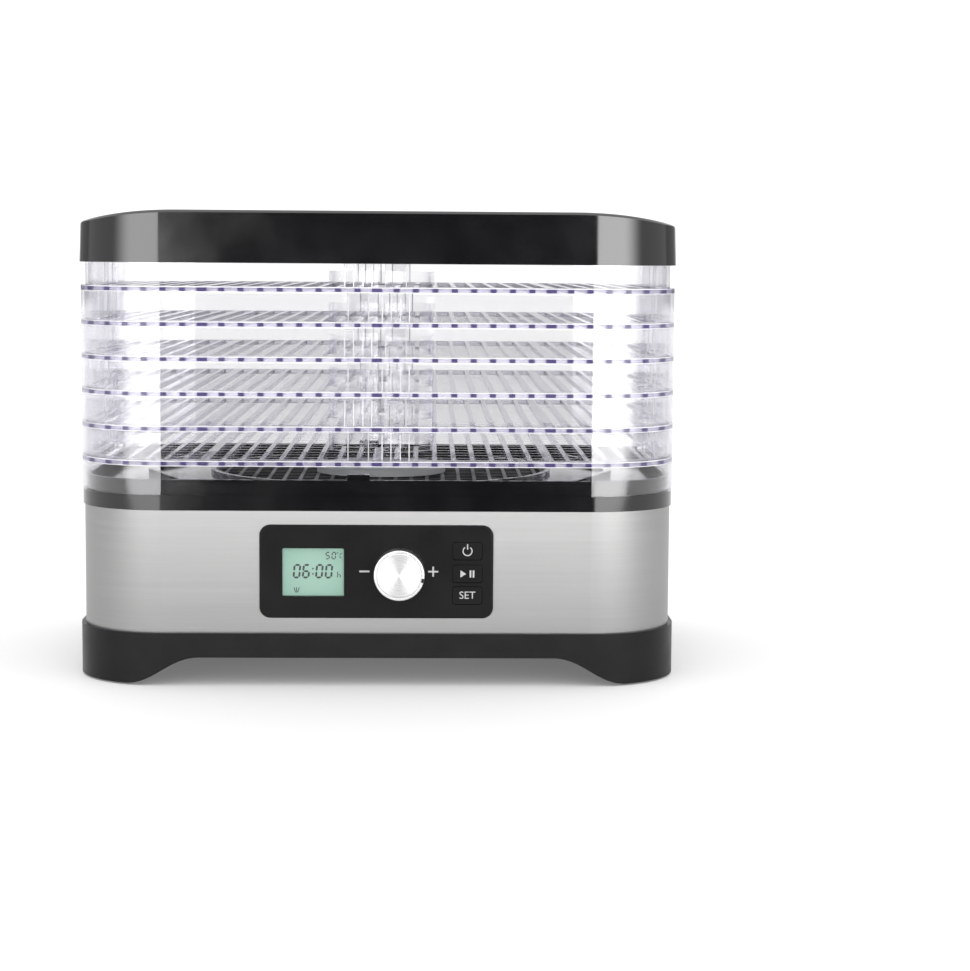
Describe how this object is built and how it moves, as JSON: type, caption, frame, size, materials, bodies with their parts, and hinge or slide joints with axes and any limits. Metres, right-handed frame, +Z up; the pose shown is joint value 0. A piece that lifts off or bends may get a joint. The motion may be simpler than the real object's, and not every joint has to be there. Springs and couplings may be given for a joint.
{
  "type": "food dehydrator",
  "caption": "Countertop food dehydrator: fan and heater base with a control panel, clear stacking shelf trays and a vented lid",
  "frame": {"origin": "on the floor under the middle of the object's bounding box", "axes": "+Z up, front with the control panel faces -Y, +X to the right seen from the front"},
  "size_m": [0.3412, 0.2752, 0.2642],
  "materials": {
    "gloss_black_plastic": "polished black moulding",
    "clear_plastic": "clear polished moulding",
    "display_window": "clear pane",
    "display_module": "pale green display",
    "satin_black_plastic": "satin black moulding",
    "panel_black": "semi-gloss black",
    "light_grey_plastic": "light grey moulding",
    "brushed_steel": "horizontally brushed",
    "spun_aluminium": "spun face, satin side",
    "rubber_pads": "matt rubber",
    "circuit_board": "green solder mask",
    "ribbon": "grey ribbon insulation",
    "steel_core": "plain sheet and bar",
    "mica_sheet": "mica board"
  },
  "bodies": {
    "base": {"base_bottom": "satin_black_plastic", "rubber_feet": "rubber_pads", "steel_wrap": "brushed_steel", "top_deck": "gloss_black_plastic", "outlet_grille": "satin_black_plastic", "grille_cap": "light_grey_plastic", "control_panel": "panel_black", "lcd_window": "display_window", "lcd_module": "display_module", "encoder": "satin_black_plastic", "control_board": "circuit_board", "tact_switches": "satin_black_plastic", "power_board": "circuit_board", "transformer": "steel_core", "heater_relay": "light_grey_plastic", "capacitors": "satin_black_plastic", "ribbon_cable": "ribbon", "fan_motor": "steel_core", "motor_bracket": "steel_core", "duct_shroud": "steel_core", "heater_frame": "mica_sheet", "heater_coil": "steel_core", "thermal_cutout": "steel_core", "thermal_fuse": "steel_core", "temperature_sensor": "steel_core", "cord_gland": "satin_black_plastic", "case_screws": "steel_core", "motor_screws": "steel_core", "board_screws": "steel_core"},
    "fan": {"fan_impeller": "satin_black_plastic", "motor_shaft": "steel_core"},
    "knob": {"knob_body": "spun_aluminium", "knob_cap": "spun_aluminium", "encoder_shaft": "steel_core"},
    "power_key": {"power_button": "panel_black"},
    "start_pause_key": {"start_pause_button": "panel_black"},
    "set_key": {"set_button": "panel_black"},
    "tray_1_body": {"tray_1": "clear_plastic"},
    "tray_2_body": {"tray_2": "clear_plastic"},
    "tray_3_body": {"tray_3": "clear_plastic"},
    "tray_4_body": {"tray_4": "clear_plastic"},
    "tray_5_body": {"tray_5": "clear_plastic"},
    "tray_6_body": {"tray_6": "clear_plastic"},
    "lid_body": {"lid": "gloss_black_plastic"}
  },
  "joints": [
    {"name": "fan_spin", "type": "hinge", "parent": "base", "child": "fan", "pos_m": [0, 0, 0.066], "axis": [0, 0, 1], "continuous": true},
    {"name": "knob_turn", "type": "hinge", "parent": "base", "child": "knob", "pos_m": [0.0128, -0.131, 0.064], "axis": [0, -1, 0], "continuous": true},
    {"name": "power_press", "type": "slide", "parent": "base", "child": "power_key", "axis": [0, 1, 0], "range_m": [0, 0.0006], "stiffness_N_per_m": 600, "springref_m": -0.0005},
    {"name": "start_pause_press", "type": "slide", "parent": "base", "child": "start_pause_key", "axis": [0, 1, 0], "range_m": [0, 0.0006], "stiffness_N_per_m": 600, "springref_m": -0.0005},
    {"name": "set_press", "type": "slide", "parent": "base", "child": "set_key", "axis": [0, 1, 0], "range_m": [0, 0.0006], "stiffness_N_per_m": 600, "springref_m": -0.0005},
    {"name": "tray_1_lift", "type": "slide", "parent": "base", "child": "tray_1_body", "axis": [0, 0, 1], "range_m": [0, 0.045]},
    {"name": "tray_2_lift", "type": "slide", "parent": "tray_1_body", "child": "tray_2_body", "axis": [0, 0, 1], "range_m": [0, 0.045]},
    {"name": "tray_3_lift", "type": "slide", "parent": "tray_2_body", "child": "tray_3_body", "axis": [0, 0, 1], "range_m": [0, 0.045]},
    {"name": "tray_4_lift", "type": "slide", "parent": "tray_3_body", "child": "tray_4_body", "axis": [0, 0, 1], "range_m": [0, 0.045]},
    {"name": "tray_5_lift", "type": "slide", "parent": "tray_4_body", "child": "tray_5_body", "axis": [0, 0, 1], "range_m": [0, 0.045]},
    {"name": "tray_6_lift", "type": "slide", "parent": "tray_5_body", "child": "tray_6_body", "axis": [0, 0, 1], "range_m": [0, 0.045]},
    {"name": "lid_lift", "type": "slide", "parent": "tray_6_body", "child": "lid_body", "axis": [0, 0, 1], "range_m": [0, 0.06]}
  ]
}
